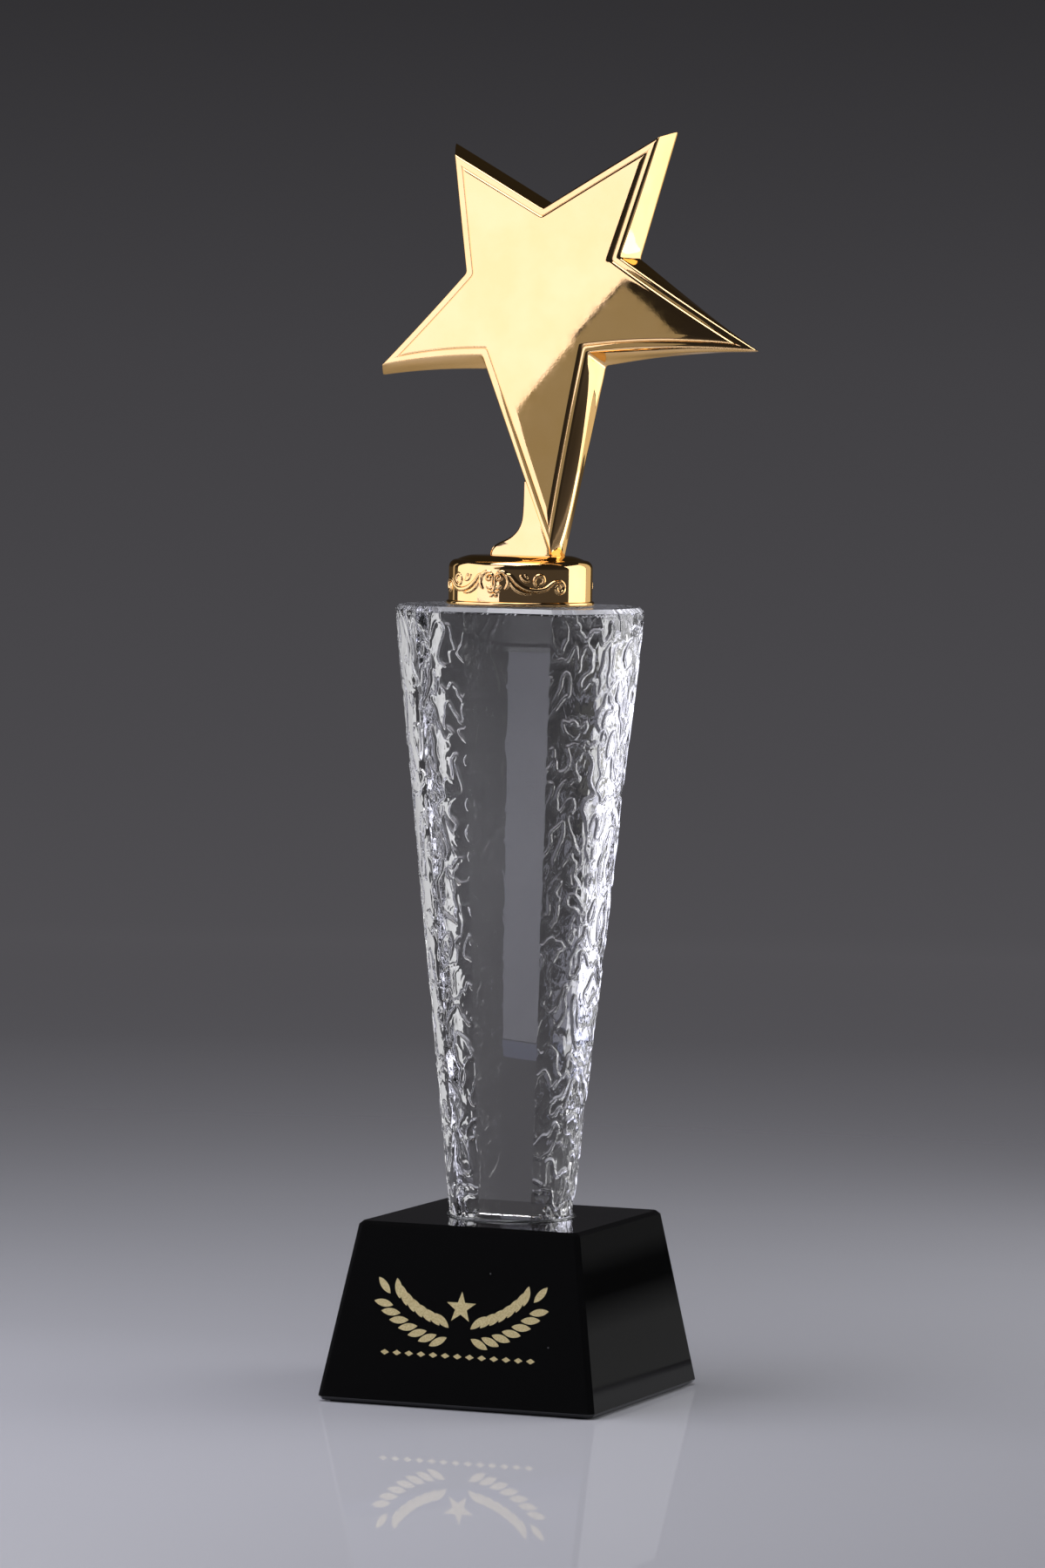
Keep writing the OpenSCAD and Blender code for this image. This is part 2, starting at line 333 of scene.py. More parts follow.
# Radius and flat distance at the foot; those at the rim come from the frame
FOOT_R = 17.0
FOOT_FLAT = 12.6
RIM_BEVEL = 1.2
FOOT_BEVEL = 0.15
RIM_R = (COLUMN_HIGH[0] - COLUMN_LOW[0]) / 2
RIM_FLAT = (COLUMN_HIGH[1] - COLUMN_LOW[1]) / 2
COLUMN_ROWS = 640
FLANK_COLUMNS = 260
# Chiselled relief: the ground lies this deep under the cone, and raised rims run round low islands
GROUND_DEPTH = 0.60
LEAST_DEPTH = 0.02
RIM_RISE = 0.35
RIM_WIDTH = 0.46
ISLAND_RISE = 0.10
ISLAND_EDGE = 0.4
# Layers of islands: seed and weight
ISLAND_LAYERS = ((10, 1.0), (20, 0.14))
# Islands are smaller the higher this level of the noise is
ISLAND_LEVEL = 0.08


def chiselled_depth(around, up, seed):
    """Depth of the chiselled relief below the cone, in millimetres, at places on a flank."""
    drift = around + 2.2 * noise(around / 9, up / 12, seed)
    climb = up + 4.0 * noise(around / 8, up / 13, seed + 1)

    def shapes(x, y, layer):
        return (noise(x / 4.6, y / 7.6, seed + layer)
                + 0.24 * noise(x / 2.3, y / 3.6, seed + layer + 1))

    step = 0.15
    height = np.zeros_like(around)
    for layer, weight in ISLAND_LAYERS:
        value = shapes(drift, climb, layer)
        slope = np.hypot(shapes(drift + step, climb, layer) - value,
                         shapes(drift, climb + step, layer) - value) / step
        value = value - ISLAND_LEVEL
        # Distance in millimetres from the outline of each island
        away = value / np.maximum(slope, 0.05)
        fade = 0.45 + 0.55 * smoothstep(noise(around / 7, up / 11, seed + layer + 5), -0.25, 0.2)
        rim = np.exp(-(away / RIM_WIDTH) ** 2)
        island = smoothstep(away, -ISLAND_EDGE, ISLAND_EDGE)
        height += weight * (RIM_RISE * rim * fade + ISLAND_RISE * island)
        height += 0.012 * (1 - island) * noise(around / 0.9, up / 1.5, seed + layer + 6)
    height += 0.17 * noise(around / 8, up / 17, seed + 40)
    height += 0.03 * noise(around / 2.6, up / 5.0, seed + 41)
    return np.maximum(GROUND_DEPTH - height, LEAST_DEPTH)


def column_rows():
    """Heights above the foot, the cone's radius and the flats' distance at each row."""
    up = np.linspace(FOOT_BEVEL, COLUMN_H - RIM_BEVEL, COLUMN_ROWS)
    share = up / (COLUMN_H - RIM_BEVEL)
    return up, FOOT_R + (RIM_R - FOOT_R) * share, FOOT_FLAT + (RIM_FLAT - FOOT_FLAT) * share


def crease_angle(end, seed, up, radius, flat):
    """Angle at each row where a flank meets a flat. end is -1 at the front and 1 at the back."""
    scan = np.radians(np.linspace(82, 33, 260))[None, :]
    depth = chiselled_depth(end * scan * radius[:, None], up[:, None] + 0 * scan, seed)
    gap = radius[:, None] - depth - flat[:, None] / np.sin(scan)
    first = np.argmax(gap < 0, axis=1)
    rows = np.arange(len(up))
    before, after = gap[rows, first - 1], gap[rows, first]
    angle = scan[0, first - 1] + (scan[0, first] - scan[0, first - 1]) * before / (before - after)
    padded = np.concatenate([angle[:1], angle, angle[-1:]])
    return (padded[:-2] + 2 * padded[1:-1] + padded[2:]) / 4


def flank_polar(seed):
    """Angle and radius of one flank, from its front crease to its back crease."""
    up, radius, flat = column_rows()
    front = crease_angle(-1, seed, up, radius, flat)
    back = crease_angle(1, seed, up, radius, flat)
    share = np.linspace(0, 1, FLANK_COLUMNS)[None, :]
    angle = -front[:, None] + share * (front + back)[:, None]
    cone = radius[:, None] - chiselled_depth(angle * radius[:, None], up[:, None] + 0 * angle, seed)
    plane = flat[:, None] / np.maximum(np.abs(np.sin(angle)), 0.2)
    reach = np.minimum(cone, plane)
    reach[:, 0], reach[:, -1] = plane[:, 0], plane[:, -1]
    return angle, reach


def bevelled_row(angle, reach, flat, width):
    """A row moved in by the width of a bevel."""
    plane = (flat - width) / np.maximum(np.abs(np.sin(angle)), 0.2)
    return np.minimum(reach - width, plane)


def build_column():
    """The column, from two chiselled flanks with a polished flat between them at the front and back."""
    up, _, flat = column_rows()
    halves = []
    for side, seed in ((1, 100), (-1, 300)):
        angle, reach = flank_polar(seed)
        foot = bevelled_row(angle[0], reach[0], flat[0], FOOT_BEVEL)
        rim = bevelled_row(angle[-1], reach[-1], flat[-1], RIM_BEVEL)
        angle = np.vstack([angle[:1], angle, angle[-1:]])
        reach = np.vstack([foot, reach, rim])
        half = np.stack([side * reach * np.cos(angle), reach * np.sin(angle)], -1)
        halves.append(half if side > 0 else half[:, ::-1])
    outline = np.concatenate(halves, axis=1)
    heights = np.concatenate([[0], up, [COLUMN_H]]) + COLUMN_LOW[2]
    rows, columns = outline.shape[:2]
    levels = np.repeat(heights, columns).reshape(rows, columns, 1)
    rings = np.concatenate([outline, levels], -1).reshape(-1, 3)
    points = np.vstack([rings, [0, 0, heights[0]], [0, 0, heights[-1]]])
    walls = ring_faces(rows, columns)
    first = np.arange(columns)
    foot_cap = fan_faces(first, len(rings), False)
    rim_cap = fan_faces(first + (rows - 1) * columns, len(rings) + 1, True)
    # Walls are polished at the two flats and along the bevels, and chiselled elsewhere
    row_of = np.repeat(np.arange(rows - 1), columns)
    column_of = np.tile(first, rows - 1)
    is_flat = (column_of == FLANK_COLUMNS - 1) | (column_of == columns - 1)
    is_bevel = (row_of == 0) | (row_of == rows - 2)
    caps = np.zeros(len(foot_cap) + len(rim_cap), dtype=bool)
    chiselled = np.concatenate([~(is_flat | is_bevel), caps])
    faces = walls.tolist() + foot_cap.tolist() + rim_cap.tolist()
    piece = make_object("column_crystal", points, faces, [POLISHED_CRYSTAL, CHISELLED_CRYSTAL],
                        chiselled.astype(int), smooth=chiselled)
    # Creases: the four edges of the flats, and the rings at the foot and the rim
    level = np.zeros((rows, columns), dtype=int)
    for number, column in enumerate((0, FLANK_COLUMNS - 1, FLANK_COLUMNS, columns - 1)):
        level[:, column] = number + 1
    flat_level = level.reshape(-1)
    ring_level = np.zeros_like(level)
    for number, row in enumerate((0, 1, rows - 2, rows - 1)):
        ring_level[row] = number + 10
    mesh = piece.data
    mark_sharp(mesh, np.concatenate([flat_level, [0, 0]]))
    along_flats = np.zeros(len(mesh.edges), dtype=bool)
    mesh.edges.foreach_get("use_edge_sharp", along_flats)
    mark_sharp(mesh, np.concatenate([ring_level.reshape(-1), [0, 0]]))
    around_rings = np.zeros(len(mesh.edges), dtype=bool)
    mesh.edges.foreach_get("use_edge_sharp", around_rings)
    mesh.edges.foreach_set("use_edge_sharp", along_flats | around_rings)
    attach(piece, ROOT)
    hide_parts("crystal_column")


# Gap that keeps the adhesive's faces off its neighbours' faces
BOND_GAP = 0.02
# The bead round the column's foot: distance outside the foot and height above the adhesive's underside
FOOT_BEAD = [(0.40, 0.0), (0.56, 0.08), (0.50, 0.22), (0.32, 0.38), (0.24, 0.50), (0.16, 0.50)]


def build_foot_bond():
    """The adhesive under the column, squeezed out into a small ring round its foot."""
    low = BLOCK_TOP + BOND_GAP
    top = COLUMN_LOW[2] - BOND_GAP / 2
    bead = [(FOOT_R + out, low + up) for out, up in FOOT_BEAD]
    section = [(0, low)] + bead + [(FOOT_R + 0.10, top), (0, top)]
    piece = lathe("foot_adhesive", section, 160, [ADHESIVE])
    sharpen_by_angle(piece, 40)
    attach(piece, ROOT)
    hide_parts("foot_bond")


def build_collar_bond():
    """The ring of adhesive under the collar's rim, as a closed turned ring."""
    inner, outer = COLLAR_R - 4.4, COLLAR_R - 1.05
    low, high = COLUMN_HIGH[2] + BOND_GAP, COLLAR_LOW[2] - BOND_GAP
    middle, swell = (low + high) / 2, 0.06
    section = [(inner, low), (outer, low), (outer + swell, middle), (outer, high), (inner, high),
               (inner - swell, middle)]
    segments = 160
    turn = np.arange(segments) * 2 * math.pi / segments
    points = [(r * math.cos(t), r * math.sin(t), z) for r, z in section for t in turn]
    count = len(section)
    faces = []
    for i in range(count):
        for j in range(segments):
            k, after = (i + 1) % count, (j + 1) % segments
            faces.append((i * segments + j, i * segments + after, k * segments + after, k * segments + j))
    piece = make_object("collar_adhesive", points, faces, [ADHESIVE])
    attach(piece, ROOT)
    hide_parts("collar_bond")


# ---------------------------------------------------------------- collar

WALL_R = COLLAR_R - 0.55
SCROLL_H = 0.42
# How far the scrollwork sits below the heights that its strokes are drawn at
SCROLL_DROP = 0.3


def curve_through(points, steps=14):
    """A smooth curve through given points: Catmull-Rom."""
    p = np.asarray(points, dtype=float)
    p = np.vstack([2 * p[0] - p[1], p, 2 * p[-1] - p[-2]])
    t = np.linspace(0, 1, steps, endpoint=False)[:, None]
    parts = []
    for a, b, c, d in zip(p[:-3], p[1:-2], p[2:-1], p[3:]):
        parts.append(0.5 * (2 * b + (c - a) * t + (2 * a - 5 * b + 4 * c - d) * t ** 2
                            + (3 * b - a - 3 * c + d) * t ** 3))
    return np.vstack(parts + [p[-2:-1]])


def spiral(centre, start_r, end_r, start_deg, turn_deg, steps=48):
    """A curl that winds in towards its centre."""
    t = np.linspace(0, 1, steps)
    angle = np.radians(start_deg + turn_deg * t)
    r = start_r + (end_r - start_r) * t
    return np.stack([centre[0] + r * np.cos(angle), centre[1] + r * np.sin(angle)], -1)


def scroll_strokes():
    """Strokes of one half of the scrollwork: curve, width at its ends and middle, height."""
    return [
        # Inner volute and its stem
        (spiral((1.35, 8.1), 1.15, 0.25, 200, -430), 0.26, 0.42, 1.0),
        (curve_through([(0.32, 7.7), (0.35, 6.6), (0.15, 5.4), (0.0, 4.4)]), 0.40, 0.34, 1.0),
        # Outer C-curve beside it
        (curve_through([(0.9, 9.6), (2.6, 9.5), (3.9, 8.2), (4.0, 6.4), (3.2, 5.0)]), 0.16, 0.55, 0.9),
        # Leaflets of the pointed drop
        (curve_through([(0.15, 5.6), (1.2, 5.3), (2.1, 5.9)]), 0.10, 0.46, 0.8),
        (curve_through([(0.1, 4.6), (0.9, 4.3), (1.6, 4.7)]), 0.10, 0.42, 0.8),
        (curve_through([(0.0, 3.8), (0.6, 3.3), (1.0, 3.2)]), 0.10, 0.36, 0.8),
        # Long arm with its end volute
        (curve_through([(3.0, 9.0), (4.6, 8.6), (6.2, 6.8), (8.6, 5.2),
                        (11.4, 4.7), (14.2, 5.2), (16.4, 6.8), (18.2, 7.3)]), 0.22, 0.62, 1.0),
        (spiral((18.3, 5.4), 1.9, 0.3, 92, -440), 0.24, 0.48, 1.0),
        # Acanthus leaf that follows the arm
        (curve_through([(4.2, 7.6), (5.6, 5.6), (7.6, 4.3), (10.0, 3.8)]), 0.12, 0.55, 0.75),
        # Curl above the arm and a free leaf
        (spiral((12.6, 7.4), 1.7, 0.9, -110, -330), 0.20, 0.46, 0.95),
        (curve_through([(7.2, 8.8), (8.4, 7.6), (9.6, 7.2)]), 0.10, 0.55, 0.8),
        (curve_through([(8.4, 9.0), (8.9, 8.2), (8.6, 7.4)]), 0.10, 0.40, 0.7),
    ]


def scroll_height(across, up):
    """Height of the scrollwork above the collar's wall, from 0 to 1."""
    flat_x, flat_z = across.ravel(), up.ravel()
    result = np.zeros(across.size)
    for curve, end_width, mid_width, peak in scroll_strokes():
        near = np.flatnonzero((flat_x > curve[:, 0].min() - 1) & (flat_x < curve[:, 0].max() + 1)
                              & (flat_z > curve[:, 1].min() - 1) & (flat_z < curve[:, 1].max() + 1))
        if not len(near):
            continue
        x, z = flat_x[near], flat_z[near]
        best = np.full(len(near), 9.0)
        count = len(curve) - 1
        for i in range(count):
            a, b = curve[i], curve[i + 1]
            length2 = max(float((b - a) @ (b - a)), 1e-9)
            t = np.clip(((x - a[0]) * (b[0] - a[0]) + (z - a[1]) * (b[1] - a[1])) / length2, 0, 1)
            gap = np.hypot(x - a[0] - t * (b[0] - a[0]), z - a[1] - t * (b[1] - a[1]))
            along = (i + t) / count
            width = end_width + (mid_width - end_width) * np.sin(np.pi * along) ** 0.7
            best = np.minimum(best, gap / width)
        rise = peak * np.sqrt(np.clip(1 - best ** 2, 0, 1)) * (best < 1)
        result[near] = np.maximum(result[near], rise)
    return result.reshape(across.shape)


def collar_section():
    """Radius and height of the collar's outside, from the bottom edge to the crown."""
    shoulder_r, crown_r = 2.2, 13.0
    shoulder = COLLAR_H - 1.2 - shoulder_r
    edge = [(COLLAR_R - 0.55, 0.0), (COLLAR_R - 0.25, 0.06), (COLLAR_R - 0.06, 0.22), (COLLAR_R, 0.45),
            (COLLAR_R, 0.75), (COLLAR_R - 0.08, 0.98), (COLLAR_R - 0.3, 1.14), (WALL_R, 1.22)]
    wall = [(WALL_R, z) for z in np.arange(1.35, shoulder, 0.11)]
    turn = np.radians(np.arange(0, 91, 6))
    round_over = [(WALL_R - shoulder_r * (1 - math.cos(a)), shoulder + shoulder_r * math.sin(a))
                  for a in turn]
    start = round_over[-1][0]
    share = np.linspace(0, 1, 9)[1:]
    crown = [(start + (crown_r - start) * s, COLLAR_H - 1.2 * (1 - s) ** 1.6) for s in share]
    return np.array(edge + wall + round_over + crown)


def build_collar():
    """The collar with its scrollwork, open underneath."""
    hollow_r, hollow_h = 15.0, 8.0
    section = collar_section()
    segments = 860
    turn = np.arange(segments) * 2 * math.pi / segments - math.pi / 2
    radius, height = section[:, 0], section[:, 1]
    # The ornament sits at the front and at the back, mirrored about its middle
    away = np.minimum(np.abs(turn + math.pi / 2), np.abs(turn - math.pi / 2))
    away = np.minimum(away, np.abs(turn + math.pi / 2 - 2 * math.pi))
    across = np.repeat((away * WALL_R)[None, :], len(section), 0)
    up = np.repeat(height[:, None], segments, 1)
    relief = scroll_height(across, up + SCROLL_DROP)
    on_wall = smoothstep(up, 1.2, 1.6) * (1 - smoothstep(up, COLLAR_H - 2.6, COLLAR_H - 1.9))
    reach = radius[:, None] + SCROLL_H * relief * on_wall
    outer = np.stack([reach * np.cos(turn), reach * np.sin(turn), up + COLLAR_LOW[2]], -1).reshape(-1, 3)
    inner_section = [(0.0, hollow_h), (hollow_r - 0.6, hollow_h), (hollow_r, hollow_h - 0.6),
                     (hollow_r, 0.25), (hollow_r + 0.25, 0.0)]
    inner = np.array([(r * math.cos(t), r * math.sin(t), z + COLLAR_LOW[2])
                      for r, z in inner_section[1:] for t in turn])
    points = np.vstack([inner, outer, [0, 0, COLLAR_LOW[2] + hollow_h], [0, 0, COLLAR_TOP]])
    rows = len(inner_section) - 1 + len(section)
    first = np.arange(segments)
    faces = ring_faces(rows, segments).tolist()
    faces += fan_faces(first, rows * segments, False).tolist()
    faces += fan_faces(first + (rows - 1) * segments, rows * segments + 1, True).tolist()
    piece = make_object("collar_cap", points, faces, [COLLAR_GOLD])
    sharpen_by_angle(piece, 60)
    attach(piece, ROOT)
    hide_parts("collar")


# ---------------------------------------------------------------- star

# Corners in the star's own plane, anticlockwise, a waist and then a tip, as in the CAD
STAR_CORNERS = np.array([
    (1.4, 94.5), (-25.5, 109.3),
    (-19.5, 76.8), (-42.8, 51.3),
    (-13.3, 54.3), (9.8, 0.9),
    (17.4, 55.4), (65.6, 56.6),
    (24.6, 81.4), (33.5, 114.4),
])
# How far the middle of each edge, from its corner to the next, is drawn in
EDGE_BOW = (0.0, 0.0, 0.2, 0.6, 0.1, 0.1, 1.1, 0.3, 0.0, 0.0)
# How far each flank swells beyond a straight slope, at the edge's first and last corner
FLANK_SWELL = ((0.4, 0.4), (0.2, 0.2), (0.2, 0.2), (0.5, 0.4), (0.4, 0.4),
               (3.4, 1.7), (1.0, 0.7), (0.5, 0.8), (0.4, 0.3), (0.4, 0.4))
# How far the tips move from the front border to the back edge: outwards, but inwards at the right
TIP_MOVES = (5.6, 3.3, 3.0, -3.4, 3.4)
FLANK_SPREAD = 2.2
BACK_EDGE_H = -9.2
# How much faster the tips draw in than the edges do where the back edge is rounded
TIP_ROUNDING = 1.6
STAR_CENTRE = np.array([2.0, 70.0])
STAR_LEAN = math.radians(8)
STAR_FRONT_Y = -5.0
STAR_DOME = 0.00034
CORNER_CUT = (0.9, 0.35)
EDGE_STEPS = 26
CORNER_STEPS = 6


def star_to_world(points):
    """From the leaning plane of the star (right, up, front) to the CAD frame."""
    u, v, w = points[:, 0], points[:, 1], points[:, 2]
    y = STAR_FRONT_Y + v * math.sin(STAR_LEAN) - w * math.cos(STAR_LEAN)
    z = COLLAR_TOP + v * math.cos(STAR_LEAN) + w * math.sin(STAR_LEAN)
    return np.stack([u, y, z], -1)


def grown_corners(growth, height):
    """The star's corners, moved outwards. Behind the border the tips have moves of their own."""
    ahead = np.roll(STAR_CORNERS, -1, 0) - STAR_CORNERS
    ahead /= np.linalg.norm(ahead, axis=1)[:, None]
    after = np.stack([ahead[:, 1], -ahead[:, 0]], -1)
    before = np.roll(after, 1, 0)
    way = before + after
    step = growth * way / (1 + (before * after).sum(1))[:, None]
    if growth > 0:
        drawn_in = TIP_ROUNDING * (FLANK_SPREAD - growth) if height < BACK_EDGE_H else 0
        moves = np.array(TIP_MOVES) * min(height / BACK_EDGE_H, 1) - drawn_in
        step[1::2] = moves[:, None] * (way / np.linalg.norm(way, axis=1)[:, None])[1::2]
    return STAR_CORNERS + step


def star_ring(growth, height):
    """Outline of the star at a height of its cross-section, with softened corners and swollen flanks."""
    corners = grown_corners(growth, height)
    swell = swelling_at(height)
    count = len(corners)
    ring = []
    for i in range(count):
        here, after = corners[i], corners[(i + 1) % count]
        before = corners[i - 1]
        back = (before - here) / np.linalg.norm(before - here)
        ahead = (after - here) / np.linalg.norm(after - here)
        cut = CORNER_CUT[i % 2]
        next_cut = CORNER_CUT[(i + 1) % 2]
        t = np.linspace(0, 1, CORNER_STEPS)[:, None]
        ring.append((1 - t) ** 2 * (here + back * cut)
                    + 2 * t * (1 - t) * here
                    + t ** 2 * (here + ahead * cut))
        start, end = here + ahead * cut, after - ahead * next_cut
        t = np.linspace(0, 1, EDGE_STEPS + 2)[1:-1, None]
        outwards = np.array([ahead[1], -ahead[0]])
        first, last = FLANK_SWELL[i]
        bulge = swell * (first + (last - first) * t) * np.sin(math.pi * t) ** 0.5
        ring.append(start + (end - start) * t + outwards * (bulge - EDGE_BOW[i] * 4 * t * (1 - t)))
    return np.vstack(ring)


# Cross-section of the casting from its back to its panel: outward growth, height above the border
STAR_SECTION = [
    # Rounded back edge
    (0.2, -11.4), (0.8, -11.3), (1.35, -11.0), (1.8, -10.5), (2.08, -9.9), (2.2, -9.2), (2.16, -8.6),
    # Flank and the rounded edge of the border
    (1.9, -7.8), (1.5, -6.6), (1.15, -5.0), (0.85, -3.8), (0.6, -2.8), (0.42, -2.0), (0.26, -1.3),
    (0.14, -0.8), (0.04, -0.46), (-0.08, -0.22), (-0.24, -0.06), (-0.42, 0.0),
    # Flat border and the groove beside it
    (-0.9, 0.015), (-1.3, 0.015), (-1.72, 0.0), (-1.80, -0.09), (-1.87, -0.09),
    # Rolled edge of the panel
    (-1.94, 0.02), (-2.06, 0.12), (-2.22, 0.20), (-2.42, 0.26), (-2.7, 0.30), (-3.1, 0.325), (-3.6, 0.335),
]
PANEL_SHARES = np.concatenate([np.linspace(1, 0.06, 26)[1:], [0.03]])


def swelling_at(height):
    """Share of the flanks' swelling: it rises quickly behind the border and fades to the back."""
    depth = min(max((-height - 0.1) / 10.4, 0), 1)
    return 1.4 * (1 - depth) * (1 - math.exp(-(depth / 0.17) ** 1.4))


def domed(points):
    """Sets the front of the star back a little towards its tips."""
    out = points.copy()
    r2 = ((points[:, :2] - STAR_CENTRE) ** 2).sum(1)
    front = smoothstep(points[:, 2], -8.0, 0.0)
    out[:, 2] -= STAR_DOME * r2 * front
    return out


def build_star_body():
    """Rings up the cross-section, then shrinking rings that fill the back and the panel."""
    rings = []
    for growth, height in STAR_SECTION:
        outline = star_ring(growth, height)
        rings.append(np.column_stack([outline, np.full(len(outline), height)]))
    back_ring, panel_ring = rings[0], rings[-1]
    count = len(back_ring)

    def shrunk(ring, share):
        out = ring.copy()
        out[:, :2] = STAR_CENTRE + (ring[:, :2] - STAR_CENTRE) * share
        return out

    back = [shrunk(back_ring, s) for s in (0.03, 0.2, 0.5, 0.8)]
    panel = [shrunk(panel_ring, s) for s in PANEL_SHARES]
    rings = back + rings + panel
    middles = np.array([[*STAR_CENTRE, back_ring[0, 2]], [*STAR_CENTRE, panel_ring[0, 2]]])
    points = np.vstack(rings + [middles])
    rows = len(rings)
    first = np.arange(count)
    faces = ring_faces(rows, count).tolist()
    faces += fan_faces(first, rows * count, False).tolist()
    faces += fan_faces(first + (rows - 1) * count, rows * count + 1, True).tolist()
    return star_to_world(domed(points)), faces


def foot_outline():
    """Outline of the foot: a round toe on each side, and a neck that flares out to the left."""
    right = curve_through([(10.1, 0.2), (10.0, 2.2), (9.6, 5.0), (9.2, 10.0), (9.0, 15.0)], 6)
    left = curve_through([(-0.1, 14.0), (-0.1, 11.6), (-0.3, 9.6), (-1.1, 7.7), (-2.6, 6.1), (-4.5, 5.0),
                          (-6.4, 4.2), (-8.0, 3.2), (-9.0, 1.9), (-9.3, 0.3)], 5)
    return np.vstack([[(-9.2, -6.0), (9.9, -6.0)], right, [(9.0, 21.0), (-0.1, 21.0)], left])


# Cross-section of the foot from its back to its front: inset of the outline, height
FOOT_SECTION = [(-1.0, -9.4), (-0.45, -9.2), (-0.12, -8.8), (0.0, -8.2), (0.0, -4.9),
                (-0.1, -4.0), (-0.35, -3.2), (-0.62, -2.65), (-0.9, -2.4)]
FOOT_MIDDLE = (4.0, 2.6)
# The front of the foot turns away to the left of this place, ever more
FOOT_TURN_FROM = 6.0
FOOT_TURN = 0.011


def build_star_foot():
    """The foot of the casting, set back behind the leg, with rounded edges."""
    outline = foot_outline()
    ahead = np.roll(outline, -1, 0) - outline
    ahead /= np.linalg.norm(ahead, axis=1)[:, None]
    normal = np.stack([ahead[:, 1], -ahead[:, 0]], -1)
    normal = normal + np.roll(normal, 1, 0)
    normal /= np.linalg.norm(normal, axis=1)[:, None]
    rings = [np.column_stack([outline + normal * inset, np.full(len(outline), height)])
             for inset, height in FOOT_SECTION]
    ends = [[*FOOT_MIDDLE, FOOT_SECTION[0][1]], [*FOOT_MIDDLE, FOOT_SECTION[-1][1]]]
    points = np.vstack(rings + [ends])
    leftwards = np.maximum(FOOT_TURN_FROM - points[:, 0], 0)
    points[:, 2] -= FOOT_TURN * leftwards ** 2 * smoothstep(points[:, 2], -6.0, -2.6)
    count, rows = len(outline), len(rings)
    faces = ring_faces(rows, count).tolist()
    faces += fan_faces(np.arange(count), rows * count, False).tolist()
    faces += fan_faces(np.arange(count) + (rows - 1) * count, rows * count + 1, True).tolist()
    return make_object("star_foot", star_to_world(points), faces, [STAR_GOLD])


def combine(piece, other, operation):
    """Joins or cuts a piece with another closed mesh, which is then removed."""
    step = piece.modifiers.new("combine", "BOOLEAN")
    step.operation = operation
    step.solver = "EXACT"
    step.object = other
    bpy.context.view_layer.objects.active = piece
    bpy.ops.object.modifier_apply(modifier=step.name)
    bpy.data.objects.remove(other)


def build_star():
    """The star with its foot, as one casting that is cut flat at the collar."""
    body_points, body_faces = build_star_body()
    star = make_object("star_casting", body_points, body_faces, [STAR_GOLD])
    combine(star, build_star_foot(), "UNION")
    # The underside is cut flat where the casting stands on the collar
    low, high = COLLAR_TOP - 30, COLLAR_TOP + 0.01
    corners = [(x, y, z) for z in (low, high) for x, y in ((-60, -60), (60, -60), (60, 60), (-60, 60))]
    sides = [(3, 2, 1, 0), (4, 5, 6, 7), (0, 1, 5, 4), (1, 2, 6, 5), (2, 3, 7, 6), (3, 0, 4, 7)]
    combine(star, make_object("below_star", corners, sides, [STAR_GOLD]), "DIFFERENCE")
    star.data.polygons.foreach_set("use_smooth", np.ones(len(star.data.polygons), dtype=bool))
    sharpen_by_angle(star, 38)
    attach(star, ROOT)
    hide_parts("star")


# ---------------------------------------------------------------- CAD nodes that stay

def dress_cad_nodes():
    """Finishes for the CAD nodes whose shape is already right."""
    looks = {
        "base_block": black_crystal_material(),
        "emblem_fill": gold_fill_material(),
        "base_pad": pad_material(),
        "fixing_screw": steel_material(),
        "fixing_washer": steel_material(),
    }
    for node, material in looks.items():
        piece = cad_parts[node]
        piece.data.materials.clear()
        piece.data.materials.append(material)


# ---------------------------------------------------------------- studio

CAMERA_DISTANCE = 2.0
CAMERA_HEIGHT = 0.2806
CAMERA_AZIMUTH = math.radians(21.594)
CAMERA_TURN = math.radians(-0.038)
CAMERA_PITCH = math.radians(-3.29)
CAMERA_ROLL = math.radians(0.851)
CAMERA_LENS = 170.07


def add_camera():
    """The camera at the photo's viewing angle."""
    data = bpy.data.cameras.new("camera")
    data.lens = CAMERA_LENS
    data.sensor_width = 36
    data.clip_end = 100
    camera = bpy.data.objects.new("camera", data)
    bpy.context.scene.collection.objects.link(camera)
    heading = CAMERA_AZIMUTH + CAMERA_TURN
    ahead = Vector((-math.sin(heading) * math.cos(CAMERA_PITCH),
                    math.cos(heading) * math.cos(CAMERA_PITCH),
                    math.sin(CAMERA_PITCH)))
    right = Vector((math.cos(heading), math.sin(heading), 0))
    up = right.cross(ahead)
    rolled_right = math.cos(CAMERA_ROLL) * right + math.sin(CAMERA_ROLL) * up
    rolled_up = math.cos(CAMERA_ROLL) * up - math.sin(CAMERA_ROLL) * right
    place = Matrix((rolled_right, rolled_up, -ahead)).transposed().to_4x4()
    place.translation = (CAMERA_DISTANCE * math.sin(CAMERA_AZIMUTH),
                         -CAMERA_DISTANCE * math.cos(CAMERA_AZIMUTH),
                         CAMERA_HEIGHT)
    camera.matrix_world = place
    bpy.context.scene.camera = camera


